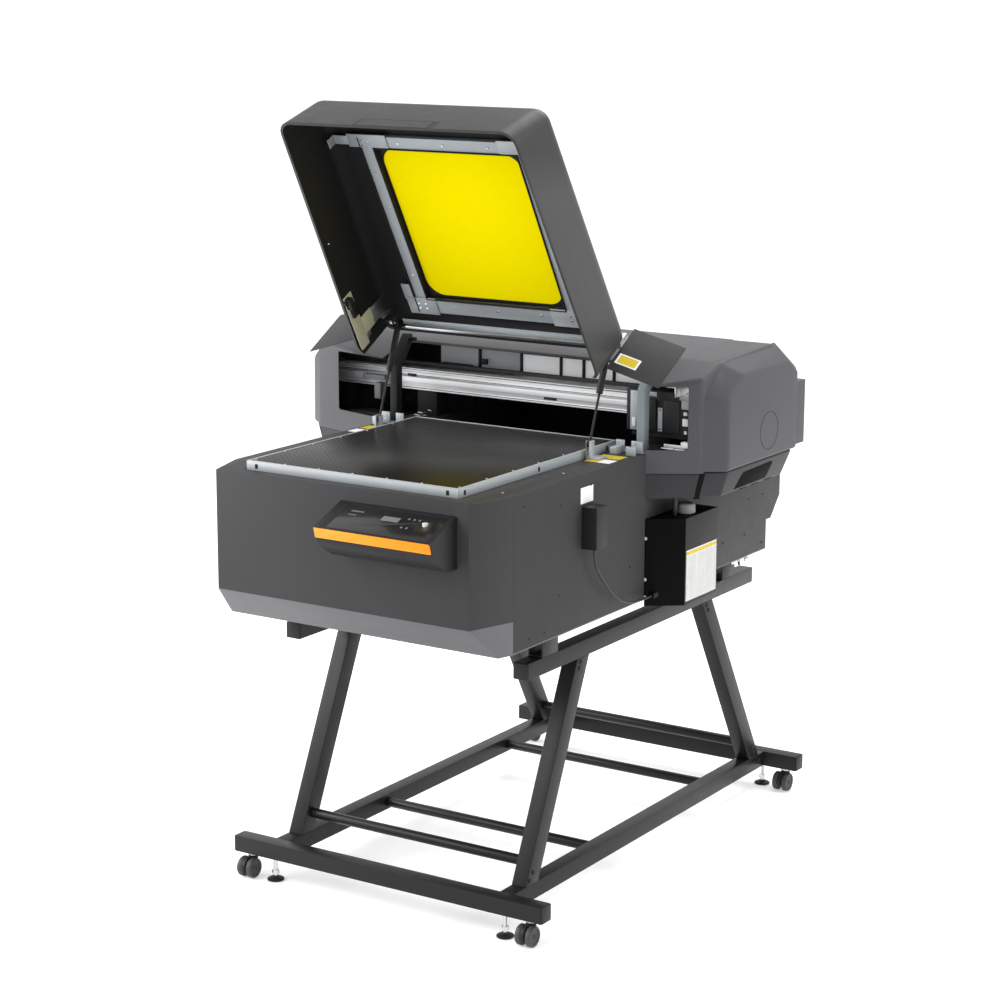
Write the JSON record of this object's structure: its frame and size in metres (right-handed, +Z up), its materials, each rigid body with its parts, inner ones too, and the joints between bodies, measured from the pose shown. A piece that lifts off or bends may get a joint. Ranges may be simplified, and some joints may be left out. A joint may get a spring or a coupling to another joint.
{
  "type": "flatbed uv printer",
  "caption": "Flatbed UV printer on a wheeled tube stand, with a hinged lid over a sliding print table and a gantry head across the back.",
  "frame": {"origin": "on the floor, under the middle of the overall bounding box", "axes": "+X right seen from the front, +Y from front to back, +Z up"},
  "size_m": [1.241, 1.625, 1.9012],
  "materials": {
    "stand_black": "satin black powder coat",
    "charcoal_paint": "fine-textured charcoal grey powder coat",
    "charcoal_plastic": "fine-textured moulded plastic, slightly violet grey",
    "black_plastic": "moulded black",
    "light_plastic": "off-white moulded",
    "orange_plastic": "orange strip",
    "dark_glass": "dark display glass",
    "yellow_window": "see-through yellow safety window",
    "black_rubber": "smooth",
    "zinc_steel": "zinc plated or bright steel",
    "aluminium": "clear anodised",
    "bed_black": "dark anodised plate with a grid of suction holes"
  },
  "bodies": {
    "frame": {"front_bar": "stand_black", "rear_bar": "stand_black", "side_rails": "stand_black", "legs": "stand_black", "cross_tubes": "stand_black", "end_caps": "black_plastic", "mount_brackets": "zinc_steel", "base_pan": "charcoal_paint", "front_panel": "charcoal_paint", "left_side_panel": "charcoal_paint", "right_side_panel": "charcoal_paint", "deck": "charcoal_paint", "rear_box": "charcoal_paint", "panel_housing": "charcoal_plastic", "panel_glass": "dark_glass", "panel_trim": "orange_plastic", "connector_box": "black_plastic", "signal_cable": "black_rubber", "waste_box": "stand_black", "waste_bottle": "light_plastic", "waste_tube": "black_rubber", "head_cover_left": "charcoal_plastic", "head_cover_right": "charcoal_plastic", "top_cover": "charcoal_plastic", "rear_cover": "charcoal_plastic", "head_floor": "charcoal_paint", "bulkhead": "stand_black", "gantry_beam": "aluminium", "beam_supports": "zinc_steel", "drive_belt": "black_rubber", "hinge_arms": "zinc_steel", "strut_clevises": "zinc_steel", "guide_rails": "zinc_steel"},
    "lid": {"lid_shell": "charcoal_paint", "lid_window": "yellow_window", "window_frame": "aluminium", "lid_flaps": "charcoal_paint", "lid_brackets": "zinc_steel"},
    "carriage_body": {"carriage": "black_plastic"},
    "table_slide": {"table_carrier": "zinc_steel"},
    "table": {"table_frame": "aluminium", "table_plate": "bed_black"},
    "power_key": {"power_button": "light_plastic"},
    "cap": {"bottle_cap": "light_plastic"},
    "strut_rod_left_body": {"strut_rod_left": "zinc_steel"},
    "strut_cylinder_left_body": {"strut_cylinder_left": "stand_black"},
    "strut_rod_right_body": {"strut_rod_right": "zinc_steel"},
    "strut_cylinder_right_body": {"strut_cylinder_right": "stand_black"},
    "caster_front_left_swivel": {"caster_fork_front_left": "black_plastic"},
    "caster_front_left_roller": {"caster_wheels_front_left": "black_rubber"},
    "foot_front_left": {"levelling_foot_front_left": "zinc_steel"},
    "caster_front_right_swivel": {"caster_fork_front_right": "black_plastic"},
    "caster_front_right_roller": {"caster_wheels_front_right": "black_rubber"},
    "foot_front_right": {"levelling_foot_front_right": "zinc_steel"},
    "caster_rear_left_swivel": {"caster_fork_rear_left": "black_plastic"},
    "caster_rear_left_roller": {"caster_wheels_rear_left": "black_rubber"},
    "foot_rear_left": {"levelling_foot_rear_left": "zinc_steel"},
    "caster_rear_right_swivel": {"caster_fork_rear_right": "black_plastic"},
    "caster_rear_right_roller": {"caster_wheels_rear_right": "black_rubber"},
    "foot_rear_right": {"levelling_foot_rear_right": "zinc_steel"}
  },
  "joints": [
    {"name": "lid_hinge", "type": "hinge", "parent": "frame", "child": "lid", "pos_m": [0.07, 0.088, 1.268], "axis": [1, 0, 0], "range_deg": [0, 59.6]},
    {"name": "carriage_travel", "type": "slide", "parent": "frame", "child": "carriage_body", "axis": [1, 0, 0], "range_m": [-0.8, 0]},
    {"name": "table_travel", "type": "slide", "parent": "frame", "child": "table_slide", "axis": [0, 1, 0], "range_m": [0, 0.58]},
    {"name": "table_lift", "type": "slide", "parent": "table_slide", "child": "table", "axis": [0, 0, 1], "range_m": [-0.15, 0]},
    {"name": "button_press", "type": "slide", "parent": "frame", "child": "power_key", "axis": [0, 0, 1], "range_m": [-0.0015, 0], "stiffness_N_per_m": 400},
    {"name": "cap_turn", "type": "hinge", "parent": "frame", "child": "cap", "pos_m": [0.507, 0.129, 0.912], "axis": [0, 0, 1], "continuous": true},
    {"name": "strut_swing_left", "type": "hinge", "parent": "frame", "child": "strut_rod_left_body", "pos_m": [-0.235, -0.116, 1.095], "axis": [1, 0, 0], "range_deg": [-23.47, 0]},
    {"name": "strut_stroke_left", "type": "slide", "parent": "strut_rod_left_body", "child": "strut_cylinder_left_body", "axis": [0, 0.3485, 0.9373], "range_m": [-0.1103, 0]},
    {"name": "strut_swing_right", "type": "hinge", "parent": "frame", "child": "strut_rod_right_body", "pos_m": [0.375, -0.116, 1.095], "axis": [1, 0, 0], "range_deg": [-23.47, 0]},
    {"name": "strut_stroke_right", "type": "slide", "parent": "strut_rod_right_body", "child": "strut_cylinder_right_body", "axis": [0, 0.3485, 0.9373], "range_m": [-0.1103, 0]},
    {"name": "swivel_front_left", "type": "hinge", "parent": "frame", "child": "caster_front_left_swivel", "pos_m": [-0.335, -0.526, 0.05], "axis": [0, 0, 1], "continuous": true},
    {"name": "roll_front_left", "type": "hinge", "parent": "caster_front_left_swivel", "child": "caster_front_left_roller", "pos_m": [-0.335, -0.542, 0.025], "axis": [1, 0, 0], "continuous": true},
    {"name": "foot_height_front_left", "type": "slide", "parent": "frame", "child": "foot_front_left", "axis": [0, 0, 1], "range_m": [0, 0.02]},
    {"name": "swivel_front_right", "type": "hinge", "parent": "frame", "child": "caster_front_right_swivel", "pos_m": [0.475, -0.526, 0.05], "axis": [0, 0, 1], "continuous": true},
    {"name": "roll_front_right", "type": "hinge", "parent": "caster_front_right_swivel", "child": "caster_front_right_roller", "pos_m": [0.475, -0.542, 0.025], "axis": [1, 0, 0], "continuous": true},
    {"name": "foot_height_front_right", "type": "slide", "parent": "frame", "child": "foot_front_right", "axis": [0, 0, 1], "range_m": [0, 0.02]},
    {"name": "swivel_rear_left", "type": "hinge", "parent": "frame", "child": "caster_rear_left_swivel", "pos_m": [-0.335, 0.791, 0.05], "axis": [0, 0, 1], "continuous": true},
    {"name": "roll_rear_left", "type": "hinge", "parent": "caster_rear_left_swivel", "child": "caster_rear_left_roller", "pos_m": [-0.335, 0.775, 0.025], "axis": [1, 0, 0], "continuous": true},
    {"name": "foot_height_rear_left", "type": "slide", "parent": "frame", "child": "foot_rear_left", "axis": [0, 0, 1], "range_m": [0, 0.02]},
    {"name": "swivel_rear_right", "type": "hinge", "parent": "frame", "child": "caster_rear_right_swivel", "pos_m": [0.475, 0.791, 0.05], "axis": [0, 0, 1], "continuous": true},
    {"name": "roll_rear_right", "type": "hinge", "parent": "caster_rear_right_swivel", "child": "caster_rear_right_roller", "pos_m": [0.475, 0.775, 0.025], "axis": [1, 0, 0], "continuous": true},
    {"name": "foot_height_rear_right", "type": "slide", "parent": "frame", "child": "foot_rear_right", "axis": [0, 0, 1], "range_m": [0, 0.02]}
  ],
  "couplings": [
    {"joint": "strut_swing_left", "follows": "lid_hinge", "ratio": -0.38614},
    {"joint": "strut_stroke_left", "follows": "lid_hinge", "m_per_rad": -0.10399},
    {"joint": "strut_swing_right", "follows": "lid_hinge", "ratio": -0.38614},
    {"joint": "strut_stroke_right", "follows": "lid_hinge", "m_per_rad": -0.10399}
  ]
}
